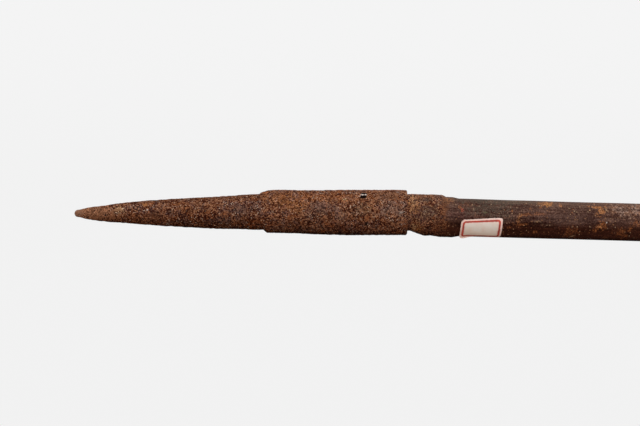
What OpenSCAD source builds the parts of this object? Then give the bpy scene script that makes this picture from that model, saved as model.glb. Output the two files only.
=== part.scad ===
// Hand harpoon: a solid iron point in a pipe socket, nailed to a round wooden shaft.
// The shaft lies along X with its butt at +X and the tip of the point at -X, and +Z is up.
// The origin is on the shaft's axis where the harpoon balances in the hand.

/* [Point] */
// Length of the point that shows, from its tip to the front rim of the socket
point_len = 142; // [80:1:220]
// Power of the point's curve: 0.5 is a full bullet shape and 1 is a plain cone
point_power = 0.43; // [0.35:0.01:1]
// Radius of the blunt nose
nose_r = 2.8; // [1:0.1:4]
// Length of the bar that is driven into the socket
tang_len = 30; // [15:1:38]
// Chamfer on the inner end of that bar
tang_chamfer = 1; // [0.5:0.1:2]

/* [Socket] */
// Outside diameter of the pipe at its mouth
socket_d = 34; // [30:0.5:50]
// Wall of the pipe at its mouth
socket_wall = 3.2; // [2.5:0.1:5]
// Length of the pipe on its axis, from its mouth to its front rim
socket_len = 110; // [102:1:160]
// Length from the mouth that keeps the full diameter
socket_full_len = 44; // [36:1:80]
// How much smaller the pipe's outside is at its front end, across
socket_neck = 1.4; // [0:0.1:2.5]
// Slope of the hammered front end on its upper side, in degrees
rim_upper_slope = 16; // [12:1:40]
// Slope of the hammered front end on its lower side, in degrees
rim_lower_slope = 44; // [20:1:60]
// How much further forward the rim reaches on its upper side than on its lower side
rim_skew = 2.7; // [0:0.1:6]
// Thickness that the hammering leaves at the rim
rim_lip = 0.3; // [0.2:0.1:1]
// Chamfer round the outside of the mouth
mouth_chamfer = 0.8; // [0.2:0.1:1.5]

/* [Nails] */
// Distance of the nails from the mouth
nail_setback = 33; // [12:1:60]
// Angle of the upper front nail round the socket, up from the side that faces -Y
nail_upper_angle = 50; // [40:1:60]
// Angle of the lower front nail round the socket, down from the side that faces -Y
nail_lower_angle = 32; // [25:1:45]
// Diameter of a nail's domed head
nail_head_d = 5.2; // [4:0.1:6.4]
// Height of a nail's domed head above the pipe
nail_head_h = 1.9; // [1:0.1:2.6]
// Diameter of a nail's shank
nail_shank_d = 2.6; // [2:0.1:3.2]
// Length of a nail's shank, with its tip
nail_len = 12; // [8:0.5:13]
// Length of a nail's tapered tip
nail_tip_len = 2.5; // [1:0.5:4]
// Depth of the two headless nails' ends below the pipe's surface
nail_sink = 0.5; // [0.2:0.1:1]
// Gap round a nail's shank in its hole in the pipe
nail_hole_gap = 0.2; // [0.1:0.05:0.5]

/* [Shaft] */
// Diameter of the shaft
shaft_d = 28.3; // [26:0.1:29.5]
// Length of the shaft behind the mouth of the socket
shaft_len = 1445; // [600:5:2400]
// Length of the tenon inside the socket
tenon_len = 70; // [62:1:78]
// Diameter of the thicker collar just behind the mouth
collar_d = 31; // [30:0.1:33]
// How far the collar's middle lies above the shaft's
collar_rise = 1.15; // [0:0.05:2]
// Where the collar's full thickness ends, from the mouth
collar_len = 26; // [18:1:34]
// Length over which the collar's end drops to the swelling of the shaft
collar_drop_len = 3.5; // [1:0.5:6]
// Bare length of the tenon between the mouth and the whittled shoulder
shoulder_setback = 2.5; // [0:0.5:4]
// Slope of the whittled shoulder in front of the collar, in degrees
shoulder_slope = 20; // [15:1:40]
// Diameter of the shaft's swelling at the collar's end
swell_d = 30.3; // [29.8:0.1:31]
// Length over which the swelling rises, inside the collar
swell_rise_len = 8; // [4:1:12]
// Length over which the swelling keeps its diameter, from the collar's end
swell_keep_len = 8.5; // [7:0.5:20]
// Length over which the swelling then runs out
swell_fade_len = 4.5; // [2:0.5:15]
// How much thicker the shaft still is under the label's near end, across
taper_gain = 0.2; // [0:0.05:0.6]
// Rounding of the butt's edge
butt_round = 3; // [1:0.5:6]
// Distance of the balance point, the origin, from the mouth of the socket
balance_len = 255; // [120:5:560]

/* [Set of the head] */
// Angle at which the head points down from the shaft's line, in degrees
head_pitch = 1.6; // [0:0.1:3]
// How far the head's axis lies above the shaft's at the mouth
head_rise = 2.65; // [0:0.05:3]

/* [Label] */
// Length of the paper label along the shaft
label_len = 33; // [20:1:40]
// Width of the paper label round the shaft
label_wrap = 20; // [15:1:40]
// Thickness of the paper
label_t = 0.2; // [0.1:0.05:0.5]
// Distance of the label from where the swelling has run out
label_setback = 0.8; // [0.5:0.1:10]
// Distance of the label from where the shaft becomes a true cylinder
label_margin = 4; // [1:1:10]
// Angle of the label's upper edge round the shaft, up from the side that faces -Y
label_top_angle = -2; // [-20:1:40]
// Rounding of the label's corners
label_corner_r = 2.5; // [1:0.1:5]

/* [Hidden] */
$fn = 96;

// Radial gap where a piece is driven into another, where the tenon slides in, and under paper and nail heads
drive_gap = 0.05;
tenon_gap = 0.1;
skin_gap = 0.1;
// Length by which a cut or a solid reaches past what it cuts or joins
over = 1;
// Radius of a nail's very tip, and what its bore is deeper than the nail
nail_tip_r = 0.3;
bore_spare = 0.3;
// Number of steps along the point's curve, how they crowd towards the nose, and steps of the butt's edge
point_steps = 24;
step_crowding = 1.6;
round_steps = 6;

iron = [0.42, 0.24, 0.15];
wood = [0.26, 0.18, 0.13];
paper = [0.87, 0.80, 0.78];
nail_black = [0.07, 0.06, 0.06];

socket_r = socket_d / 2;
bore_r = socket_r - socket_wall;
bar_r = bore_r - drive_gap;
tenon_r = bore_r - tenon_gap;
shaft_r = shaft_d / 2;
collar_r = collar_d / 2;
swell_r = swell_d / 2;
nail_head_r = nail_head_d / 2;
nail_shank_r = nail_shank_d / 2;
head_len = socket_len + point_len;

// Distances of a nail head's underside and of a nail's tip from the pipe's axis
nail_seat_r = socket_r + skin_gap;
nail_end_r = nail_seat_r - nail_len;

// Places along the shaft, from the mouth
collar_end = collar_len + collar_drop_len;
swell_keep_end = collar_len + swell_keep_len;
swell_end = swell_keep_end + swell_fade_len;
label_start = swell_end + label_setback;
label_end = label_start + label_len;
taper_end = label_end + label_margin;

// The two back nails lie opposite the front ones and are like them, one with a head and one without.
nail_upper_back_angle = 180 - nail_lower_angle;
nail_lower_back_angle = 180 + nail_upper_angle;
nail_angles = [nail_upper_angle, -nail_lower_angle, nail_upper_back_angle, nail_lower_back_angle];

// The hammered front end is cut to a cone that leans up, whose tip follows from its two slopes.
rim_r = bore_r + rim_lip;
rim_top = socket_len + rim_skew / 2;
rim_bottom = socket_len - rim_skew / 2;
rim_tilt = atan(rim_skew / 2 / rim_r);
tan_upper = tan(rim_upper_slope);
tan_lower = tan(rim_lower_slope);
cone_tip = (2 * rim_r + tan_upper * rim_top + tan_lower * rim_bottom) / (tan_upper + tan_lower);
cone_tip_rise = rim_r - tan_upper * (cone_tip - rim_top);
cone_half_angle = (rim_upper_slope + rim_lower_slope) / 2;
cone_lean = (rim_lower_slope - rim_upper_slope) / 2;
cone_len = cone_tip + 2 * socket_d;

// The pipe's outside narrows from the end of its full length to its front end.
neck_slope = socket_neck / 2 / (socket_len - socket_full_len);
neck_base_r = socket_r + neck_slope * socket_full_len;

// Outside radius of the pipe where it narrows, at a distance from its mouth
function pipe_radius(along) = neck_base_r - neck_slope * along;

// Radius of the point at a distance from its tip
function point_radius(from_tip) = bar_r * pow(from_tip / point_len, point_power);

// Radius of the shaft's last taper, at a distance from the mouth
function taper_radius(x) = shaft_r + taper_gain / 2 * (taper_end - x) / (taper_end - swell_end);

// Angle round the shaft that a length along its surface takes up
function wrap_angle(length) = length / taper_radius(label_start) * 180 / PI;

// The shaft's frame, whose zero is on its axis at the mouth, set in the part's frame
module placed() {
    translate([-balance_len, 0, 0]) children();
}

// The head's axis turned up to +Z: zero is the middle of the mouth and +X is the upper side.
module along_head() {
    translate([0, 0, head_rise]) rotate([0, -90 - head_pitch, 0]) children();
}

// The shaft's axis turned up to +Z: zero is at the mouth and -X is the upper side.
module along_shaft() {
    rotate([0, 90, 0]) children();
}

// In the head's frame, a nail's axis turned up to +Z: zero is on the head's axis.
module along_nail(angle) {
    translate([0, 0, nail_setback]) rotate([90, 0, angle]) children();
}

module point() {
    nose_end = point_len * pow(nose_r / bar_r, 1 / point_power);
    first = max(nose_end, nose_r);
    nose_front = head_len - nose_r;
    tang_end = socket_len - tang_len;
    curve = [
        for (i = [0 : point_steps])
            let (from_tip = first + (point_len - first) * pow(i / point_steps, step_crowding))
                [point_radius(from_tip), head_len - from_tip]
    ];
    nose = nose_end > nose_r ? [[nose_r, nose_front]] : [];
    tang = [[bar_r, tang_end + tang_chamfer], [bar_r - tang_chamfer, tang_end], [0, tang_end]];
    color(iron) placed() along_head() union() {
        rotate_extrude() polygon(concat([[0, nose_front]], nose, curve, tang));
        translate([0, 0, nose_front]) sphere(r = nose_r);
    }
}

module pipe_outside() {
    front = rim_top + over;
    rotate_extrude() polygon([
        [0, 0],
        [socket_r - mouth_chamfer, 0],
        [socket_r, mouth_chamfer],
        [socket_r, socket_full_len],
        [pipe_radius(front), front],
        [0, front]
    ]);
}

module hammered_cone() {
    translate([cone_tip_rise, 0, cone_tip]) rotate([0, cone_lean, 0]) translate([0, 0, -cone_len])
        cylinder(h = cone_len, r1 = cone_len * tan(cone_half_angle), r2 = 0);
}

module past_the_rim() {
    translate([0, 0, socket_len]) rotate([0, -rim_tilt, 0]) translate([-socket_d, -socket_d, 0])
        cube(2 * socket_d);
}

module socket() {
    color(iron) placed() along_head() difference() {
        intersection() {
            pipe_outside();
            hammered_cone();
        }
        past_the_rim();
        translate([0, 0, -over]) cylinder(h = socket_len + rim_skew + 2 * over, r = bore_r);
        for (angle = nail_angles) along_nail(angle) cylinder(h = socket_r + over, r = nail_shank_r + nail_hole_gap);
    }
}

// A nail's shank, from its tip out to a distance from the pipe's axis
module nail_shank(end) {
    tip_end = nail_end_r + nail_tip_len;
    translate([0, 0, tip_end]) cylinder(h = end - tip_end, r = nail_shank_r);
    translate([0, 0, nail_end_r]) cylinder(h = nail_tip_len, r1 = nail_tip_r, r2 = nail_shank_r);
}

module headed_nail(angle) {
    dome_r = (pow(nail_head_r, 2) + pow(nail_head_h, 2)) / (2 * nail_head_h);
    color(nail_black) placed() along_head() along_nail(angle) union() {
        nail_shank(nail_seat_r);
        translate([0, 0, nail_seat_r]) intersection() {
            translate([0, 0, nail_head_h - dome_r]) sphere(r = dome_r);
            cylinder(h = nail_head_h + over, r = dome_r + over);
        }
    }
}

module headless_nail(angle) {
    color(nail_black) placed() along_head() along_nail(angle) nail_shank(socket_r - nail_sink);
}

module nail_bore() {
    start = nail_end_r - bore_spare;
    translate([0, 0, start]) cylinder(h = tenon_r + over - start, r = nail_shank_r + drive_gap);
}

module tenon() {
    bare = shoulder_setback + over;
    translate([0, 0, -bare]) cylinder(h = tenon_len + bare, r = tenon_r);
}

module collar() {
    cone_h = collar_end + over - shoulder_setback;
    intersection() {
        along_shaft() translate([-collar_rise, 0, 0]) rotate_extrude() polygon([
            [0, 0],
            [collar_r, 0],
            [collar_r, collar_len],
            [swell_r - collar_rise, collar_end],
            [0, collar_end]
        ]);
        along_head() translate([0, 0, -shoulder_setback - cone_h])
            cylinder(h = cone_h, r1 = tenon_r + cone_h * tan(shoulder_slope), r2 = tenon_r);
    }
}

module pole() {
    start = collar_len - swell_rise_len;
    round_middle = [shaft_r - butt_round, shaft_len - butt_round];
    rounded = [
        for (i = [0 : round_steps])
            let (angle = 90 * i / round_steps) round_middle + butt_round * [cos(angle), sin(angle)]
    ];
    along_shaft() rotate_extrude() polygon(concat(
        [
            [0, start],
            [shaft_r, start],
            [swell_r, collar_len],
            [swell_r, swell_keep_end],
            [taper_radius(swell_end), swell_end],
            [shaft_r, taper_end]
        ],
        rounded,
        [[0, shaft_len]]
    ));
}

module shaft() {
    color(wood) placed() difference() {
        union() {
            along_head() tenon();
            collar();
            pole();
        }
        along_head() for (angle = nail_angles) along_nail(angle) nail_bore();
    }
}

// What is cut off a square corner to round it, for each quarter turn
module corner_waste(quarter) {
    rotate(90 * quarter) difference() {
        square(label_corner_r + over);
        circle(r = label_corner_r);
    }
}

module label() {
    inner_start = taper_radius(label_start) + skin_gap;
    inner_end = taper_radius(label_end) + skin_gap;
    reach = inner_start + label_t + over;
    turn = wrap_angle(label_wrap);
    corner_turn = wrap_angle(label_corner_r);
    color(paper) placed() along_shaft() rotate([0, 0, -90 - label_top_angle]) difference() {
        rotate_extrude(angle = turn) polygon([
            [inner_start, label_start],
            [inner_start + label_t, label_start],
            [inner_end + label_t, label_end],
            [inner_end, label_end]
        ]);
        for (quarter = [0 : 3]) {
            along = quarter == 0 || quarter == 3 ? label_start + label_corner_r : label_end - label_corner_r;
            round_turn = quarter < 2 ? turn - corner_turn : corner_turn;
            rotate([0, 0, round_turn]) translate([0, 0, along]) rotate([0, 90, 0])
                linear_extrude(height = reach) corner_waste(quarter);
        }
    }
}

point();
socket();
shaft();
label();
headed_nail(nail_upper_angle);  // nail_upper_front
headless_nail(-nail_lower_angle);  // nail_lower_front
headless_nail(nail_upper_back_angle);  // nail_upper_back
headed_nail(nail_lower_back_angle);  // nail_lower_back
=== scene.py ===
import math

import bmesh
import bpy
import numpy as np
from mathutils import Euler, Matrix, Vector, noise


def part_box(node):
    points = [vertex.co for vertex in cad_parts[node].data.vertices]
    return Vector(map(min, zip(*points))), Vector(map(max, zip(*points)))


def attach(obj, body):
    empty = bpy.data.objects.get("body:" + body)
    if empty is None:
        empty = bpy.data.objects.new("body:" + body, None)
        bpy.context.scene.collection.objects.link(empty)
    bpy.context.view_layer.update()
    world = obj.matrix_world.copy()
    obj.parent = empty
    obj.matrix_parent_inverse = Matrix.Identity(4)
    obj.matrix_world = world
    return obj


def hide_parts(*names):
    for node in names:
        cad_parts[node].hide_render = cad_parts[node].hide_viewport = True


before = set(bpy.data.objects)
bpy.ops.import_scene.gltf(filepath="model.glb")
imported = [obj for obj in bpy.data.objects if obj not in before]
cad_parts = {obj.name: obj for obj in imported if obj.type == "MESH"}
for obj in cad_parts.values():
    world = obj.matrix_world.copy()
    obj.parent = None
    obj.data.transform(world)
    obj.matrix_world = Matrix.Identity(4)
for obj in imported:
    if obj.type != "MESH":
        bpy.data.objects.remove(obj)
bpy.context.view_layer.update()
print("frame loaded:", len(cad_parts), "nodes")

# The harpoon's own lengths are in millimetres, the room's in metres, and every angle in degrees.
# "turn" is the angle round a piece: 0 faces the front (-Y), 90 is straight up.
mm = 0.001
poleLength = 1445  # from the mouth of the socket to the butt
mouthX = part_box("shaft")[1].x - poleLength / 1000  # the mouth, where every length starts


def smooth(low, high, values):
    t = np.clip((np.asarray(values, float) - low) / (high - low), 0, 1)
    return t * t * (3 - 2 * t)


def hump(values):
    return np.where(np.abs(values) < 1, (1 - np.square(values)) ** 2, 0.0)


def around(columns):
    return np.linspace(0, 2 * math.pi, columns, endpoint=False)


def fractalAt(points, size, octaves, seed):
    flat = np.asarray(points, float).reshape(-1, 3) / size
    shift = np.array([seed * 13.7, seed * 5.3, seed * 9.1])
    found = [noise.fractal(Vector(p), 1.0, 2.0, octaves) for p in flat + shift]
    return np.array(found).reshape(np.shape(points)[:-1])


def crumbsAt(points, size, seed):
    # distance to the middle of the nearest crumb, and a number that belongs to that crumb
    flat = np.asarray(points, float).reshape(-1, 3) / size
    shift = np.array([seed * 7.9, seed * 3.1, seed * 11.3])
    near = np.empty(len(flat))
    kind = np.empty(len(flat))
    for i, p in enumerate(flat + shift):
        distances, places = noise.voronoi(Vector(p))
        near[i] = distances[0]
        kind[i] = noise.cell(places[0] * 31.7)
    shape = np.shape(points)[:-1]
    return near.reshape(shape), kind.reshape(shape)


# how the point and the socket sit on the shaft: the droop, and the slight bow of their line
headSet = {"pitch": 1.6, "rise": 2.65, "bowMiddle": 110, "bowReach": 40, "bow": 0.75,
           "droopStart": 206, "droopLength": 24, "droop": 0.6}
pitchCos = math.cos(math.radians(headSet["pitch"]))
pitchSin = math.sin(math.radians(headSet["pitch"]))


def headPoints(along, up, front):
    # from the head's own axis, forward of the mouth, to the part's frame, still in millimetres
    h = headSet
    bow = h["bow"] * hump((along - h["bowMiddle"]) / h["bowReach"])
    droop = h["droop"] * smooth(h["droopStart"], h["droopStart"] + h["droopLength"], along) ** 1.3
    rise = up + (bow - droop)
    x = -along * pitchCos - rise * pitchSin
    z = h["rise"] - along * pitchSin + rise * pitchCos
    return np.stack([x, -front + 0 * x, z], -1)


def headRound(along, radius, turn):
    return headPoints(along, radius * np.sin(turn), radius * np.cos(turn))


def gridFaces(rows, columns, tube=True, closed=False):
    # a tube joins its last column to its first, a closed one its last row to its first as well
    i = np.arange(rows if closed else rows - 1)[:, None]
    j = np.arange(columns if tube else columns - 1)[None, :]
    k = (i + 1) % rows
    n = (j + 1) % columns
    quads = np.stack([i * columns + j, i * columns + n, k * columns + n, k * columns + j], -1)
    return quads.reshape(-1, 4).tolist()


def makePiece(name, points, faces, marks=None, slot=None):
    # points in millimetres from the mouth; marks are numbers or colours kept on the points
    placed = np.asarray(points, float).reshape(-1, 3) * mm
    placed[:, 0] += mouthX
    mesh = bpy.data.meshes.new(name)
    mesh.from_pydata(placed.tolist(), [], faces)
    bm = bmesh.new()
    bm.from_mesh(mesh)
    bmesh.ops.recalc_face_normals(bm, faces=bm.faces)
    bm.to_mesh(mesh)
    bm.free()
    mesh.polygons.foreach_set("use_smooth", [True] * len(mesh.polygons))
    for key, values in (marks or {}).items():
        values = np.asarray(values, np.float32)
        kind, entry = ("FLOAT_COLOR", "color") if values.ndim == 2 else ("FLOAT", "value")
        mesh.attributes.new(key, kind, "POINT").data.foreach_set(entry, values.ravel())
    mesh.update()
    piece = bpy.data.objects.new(name, mesh)
    bpy.context.scene.collection.objects.link(piece)
    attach(piece, "root")
    return piece


def capped(rings, first, last, marks):
    # a tube of rings closed by a point at each end
    rows, columns = rings.shape[:2]
    points = np.concatenate([rings.reshape(-1, 3), [first, last]])
    faces = gridFaces(rows, columns)
    a, b = rows * columns, rows * columns + 1
    for j in range(columns):
        n = (j + 1) % columns
        faces.append((a, n, j))
        faces.append((b, (rows - 1) * columns + j, (rows - 1) * columns + n))
    full = {}
    for key, values in marks.items():
        values = np.asarray(values, float)
        ends = [values[0].mean(0), values[-1].mean(0)]
        shape = (-1, 4) if values.ndim == 3 else (-1,)
        full[key] = np.concatenate([values.reshape(shape), np.array(ends).reshape(shape)])
    return points, faces, full


# Marks are seen from the front. A row says how far forward of the mouth the mark lies on the iron,
# or behind it on the wood, how far above the axis, how long and how high it is, its tint, how
# strong and how ragged it is and, where needed, its tilt anticlockwise and how soft its edge is.
def paintMarks(marks, along, up, facing, seed, tints={}):
    colour = np.zeros(along.shape + (4,))
    spots = np.stack([along, up, 0 * up], -1)
    fray = fractalAt(spots, 2.2, 3, seed)
    for at, above, long, high, tint, strength, ragged, *rest in marks:
        tilt, soft = rest + [0, 0.35][len(rest):]
        angle = math.radians(tilt)
        dx, dz = along - at, up - above
        near = (np.abs(dx) < long + high) & facing
        u = (dx * math.cos(angle) + dz * math.sin(angle)) / (long / 2)
        v = (dz * math.cos(angle) - dx * math.sin(angle)) / (high / 2)
        reach = np.hypot(u, v) + ragged * fray
        amount = strength * (1 - smooth(1 - soft, 1 + soft, reach)) * near
        for c, part in enumerate(tints.get(tint, tint)):
            colour[..., c] = colour[..., c] * (1 - amount) + part * amount
        colour[..., 3] = colour[..., 3] + amount * (1 - colour[..., 3])
    covered = np.maximum(colour[..., 3:], 1e-4)
    colour[..., :3] = np.clip(colour[..., :3] / covered, 0, 1)
    return colour


def plug(tree, entry, value):
    # a socket is linked, a number or a colour is set on the entry itself
    if isinstance(value, bpy.types.NodeSocket):
        tree.links.new(value, entry)
    else:
        entry.default_value = value


def addNode(tree, kind, values=None, **settings):
    node = tree.nodes.new("ShaderNode" + kind)
    for key, value in settings.items():
        setattr(node, key, value)
    for key, value in (values or {}).items():
        plug(tree, node.inputs[key], value)
    return node


def sums(tree, operation, a, b=0.0, c=None):
    values = {0: a, 1: b}
    if c is not None:
        values[2] = c
    return addNode(tree, "Math", values, operation=operation).outputs[0]


def times(tree, a, b):
    return sums(tree, "MULTIPLY", a, b)


def layered(tree, total, layers):
    # each layer is added with its own weight
    for layer, weight in layers:
        total = sums(tree, "MULTIPLY_ADD", layer, weight, total)
    return total


def vectors(tree, operation, a, b=(0, 0, 0)):
    return addNode(tree, "VectorMath", {0: a, 1: b}, operation=operation).outputs[0]


def mixed(tree, factor, a, b, blend="MIX"):
    node = addNode(tree, "Mix", data_type="RGBA", blend_type=blend)
    for index, value in ((0, factor), (6, a), (7, b)):
        plug(tree, node.inputs[index], (*value, 1) if isinstance(value, tuple) else value)
    return node.outputs[2]


def washed(tree, colour, amount, share, tint):
    # a share of another tint laid over the colour
    return mixed(tree, times(tree, amount, share), colour, tint)


def ramp(tree, factor, stops):
    node = addNode(tree, "ValToRGB", {0: factor})
    band = node.color_ramp
    while len(band.elements) < len(stops):
        band.elements.new(0.5)
    for element, (position, colour) in zip(band.elements, stops):
        element.position = position
        element.color = (*colour, 1)
    return node.outputs[0]


def linear(tree, factor, low, high, **settings):
    # 0 at low, 1 at high
    return addNode(tree, "MapRange", {0: factor, 1: low, 2: high}, **settings).outputs[0]


def steps(tree, factor, low, high):
    return linear(tree, factor, low, high, interpolation_type="SMOOTHSTEP")


def noiseAt(tree, coords, size, detail=3.0, rough=0.6, stretch=(1, 1, 1), shift=0.0):
    # size in millimetres of one blotch; stretch makes it longer along an axis
    place = addNode(tree, "Mapping", {
        "Vector": coords, "Scale": [1 / (size * mm * s) for s in stretch],
        "Location": (shift, shift * 0.7, shift * 1.3)})
    return addNode(tree, "TexNoise", {"Vector": place.outputs[0], "Scale": 1.0,
                                      "Detail": detail, "Roughness": rough}).outputs[0]


def grains(tree, coords, size):
    # the distance to the middle of the nearest grain, and three numbers that belong to it
    cells = addNode(tree, "TexVoronoi", {"Vector": coords, "Scale": 1 / (size * mm)}, feature="F1")
    tones = addNode(tree, "SeparateColor", {0: cells.outputs["Color"]})
    return cells.outputs["Distance"], tones.outputs


def startMaterial(name):
    material = bpy.data.materials.new(name)
    material.use_nodes = True
    tree = material.node_tree
    return material, tree, tree.nodes["Principled BSDF"]


def objectCoords(tree):
    return addNode(tree, "TexCoord").outputs["Object"]


def markNode(tree, name):
    return addNode(tree, "Attribute", attribute_name=name, attribute_type="GEOMETRY").outputs


def bumped(tree, shader, layers):
    # layers of (height, strength, distance in millimetres)
    normal = None
    for height, strength, distance in layers:
        values = {"Height": height, "Strength": strength, "Distance": distance * mm}
        if normal:
            values["Normal"] = normal
        normal = addNode(tree, "Bump", values).outputs[0]
    tree.links.new(normal, shader.inputs["Normal"])


def grained(tree, tint, grain, alpha=0.0):
    # a mark's colour that keeps the grain below it, except where the mark is solid
    plain = steps(tree, alpha, 0.72, 0.85)
    light = sums(tree, "MULTIPLY_ADD", grain, 1.45, 0.30)
    light = sums(tree, "MULTIPLY_ADD", light, sums(tree, "SUBTRACT", 1.0, plain), plain)
    return addNode(tree, "VectorMath", {0: tint, "Scale": light}, operation="SCALE").outputs[0]


rust = {"gap": (0.024, 0.0028, 0.0016), "deep": (0.068, 0.0140, 0.0070),
        "brown": (0.114, 0.036, 0.018), "orange": (0.230, 0.082, 0.040),
        "bright": (0.50, 0.235, 0.125), "tan": (0.88, 0.70, 0.55), "grey": (0.115, 0.076, 0.072),
        "warm": (0.27, 0.082, 0.026), "low": (0.80, 0.70, 0.62),
        "broadSize": 15, "blotchSize": 4.2, "grainSize": 0.68, "crumbSize": 0.80, "clumpSize": 2.6}


def rustLayers(tree, coords, shift=0.0, raised=0.0):
    # the rust's colour and its grain, shared by the iron and the crust on the wood
    r = rust
    broad = noiseAt(tree, coords, r["broadSize"], 4, 0.62, shift=shift)
    blotch = noiseAt(tree, coords, r["blotchSize"], 3, 0.65, shift=shift + 3)
    grain = noiseAt(tree, coords, r["grainSize"], 2, 0.7, shift=shift + 5)
    crumb, own = grains(tree, coords, r["crumbSize"])
    clump = grains(tree, coords, r["clumpSize"])[1]
    tone = layered(tree, -1.41, ((broad, 0.48), (blotch, 0.38), (grain, 2.0), (own[0], 1.15),
                                 (clump[0], 0.06), (steps(tree, crumb, 0.48, 0.75), -0.42)))
    tone = sums(tree, "ADD", tone, raised)
    colour = ramp(tree, tone, [(0.14, r["gap"]), (0.36, r["deep"]), (0.53, r["brown"]),
                               (0.72, r["orange"]), (0.98, r["bright"])])
    level = linear(tree, tone, 0.10, 0.95)
    warmth = steps(tree, noiseAt(tree, coords, 8, 3, 0.6, shift=shift + 15), 0.50, 0.64)
    warmth = times(tree, warmth, steps(tree, sums(tree, "ADD", tone, own[1]), 0.85, 1.25))
    colour = washed(tree, colour, warmth, 0.60, grained(tree, r["warm"], level))
    greyness = steps(tree, noiseAt(tree, coords, 6.5, 3, 0.6, shift=shift + 9), 0.46, 0.64)
    greyness = times(tree, greyness, steps(tree, own[1], 0.20, 0.55))
    colour = washed(tree, colour, greyness, 0.62, grained(tree, r["grey"], level))
    # a few crumbs are pale, more of them where the rust is light
    pale = steps(tree, own[2], 0.88, 0.93)
    pale = times(tree, pale, steps(tree, crumb, 0.55, 0.30))
    pale = times(tree, pale, steps(tree, blotch, 0.38, 0.55))
    height = times(tree, sums(tree, "SUBTRACT", 0.8, crumb), sums(tree, "ADD", own[0], 0.35))
    return colour, pale, grain, blotch, height, level


def rustedIron():
    material, tree, shader = startMaterial("rusted iron")
    coords, r = objectCoords(tree), rust
    hollow, under = (markNode(tree, name)["Fac"] for name in ("hollow", "under"))
    # high crumbs are lighter, the underside darker, and pits dark and red
    raised = times(tree, steps(tree, hollow, 0.25, 0.02), 0.10)
    raised = sums(tree, "MULTIPLY_ADD", under, -0.10, raised)
    colour, pale, grain, blotch, crumb, level = rustLayers(tree, coords, raised=raised)
    colour = washed(tree, colour, steps(tree, hollow, 0.40, 0.85), 0.80, r["gap"])
    colour = mixed(tree, under, colour, r["low"], "MULTIPLY")
    colour = washed(tree, colour, pale, 0.85, r["tan"])
    # a weak mark shows on the high grains only, a solid one everywhere
    marks = markNode(tree, "marks")
    covering = sums(tree, "MULTIPLY_ADD", marks["Alpha"], 0.24, grain)
    amount = times(tree, marks["Alpha"], steps(tree, covering, 0.42, 0.60))
    amount = sums(tree, "MAXIMUM", amount, steps(tree, marks["Alpha"], 0.93, 0.99))
    colour = mixed(tree, amount, colour, grained(tree, marks["Color"], level, marks["Alpha"]))
    tree.links.new(colour, shader.inputs["Base Color"])
    shader.inputs["Roughness"].default_value = 0.85
    shader.inputs["Specular IOR Level"].default_value = 0.01
    fine = noiseAt(tree, coords, 0.6, 2, 0.7)
    bumped(tree, shader, [(blotch, 0.6, 0.6), (crumb, 1.0, 0.55), (grain, 1.0, 0.6),
                          (fine, 0.6, 0.15)])
    return material


def rustDepth(points, seed):
    # how far the rusted surface lies below its highest crumbs, in millimetres
    broad = fractalAt(points, 9.0, 3, seed)
    lumps = fractalAt(points, 3.0, 3, seed + 1)
    near, kind = crumbsAt(points, 1.8, seed + 2)
    pitNear, pitKind = crumbsAt(points, 5.5, seed + 3)
    pits = (1 - smooth(0.10, 0.36, pitNear)) * (pitKind > 0.10)
    flakes = 1 - smooth(-0.12, 0.10, broad)
    depth = 0.12 * flakes - 0.28 * lumps + 0.24 * near * (0.5 + 0.6 * kind) + 0.40 * pits + 0.05
    return np.clip(depth, 0, 0.95)


pointBar = {"barRadius": 13.75, "showsFrom": 110, "length": 142, "noseRadius": 2.8, "curve": 0.43,
            "driven": 30, "fineFrom": 104, "noseFrom": 3.5, "columns": 172, "step": 0.5,
            "proud": 0.30, "topWear": 0.38, "flats": 0.25, "calmRadius": 7.0}
pointMarks = [
    (160, 0, 130, 40, (0.045, 0.012, 0.005), 0.22, 0.6),
    (217.5, 2, 7.5, 5.5, (0.5, 0.3, 0.16), 0.6, 1.3),
    (219.5, 0, 2.2, 1.4, (0.75, 0.55, 0.38), 0.9, 0.6),
    (214.5, 3, 1.4, 1.3, (0.75, 0.55, 0.38), 0.9, 0.6),
    (197.5, 6.3, 4.2, 2.2, (0.42, 0.17, 0.065), 0.9, 0.8),
    (196, 2, 1.1, 1.1, (0.85, 0.75, 0.66), 1, 0.2),
    (249.5, 0, 7, 7, (0.33, 0.2, 0.145), 0.82, 0.8),
    (236, 0, 32, 14, (0.28, 0.125, 0.066), 0.74, 0.9),
    (190, -3, 13, 7, (0.045, 0.022, 0.017), 0.55, 1.2),
    (160, 4.5, 30, 7, (0.2, 0.085, 0.04), 0.3, 1.4),
    (160, 12, 110, 8, (0.07, 0.022, 0.01), 0.38, 0.6, -3),
    (210, -3.5, 50, 5, (0.2, 0.07, 0.03), 0.45, 1.2),
    (126, 1.5, 17, 9, (0.085, 0.052, 0.047), 0.55, 1.2),
]


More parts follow.
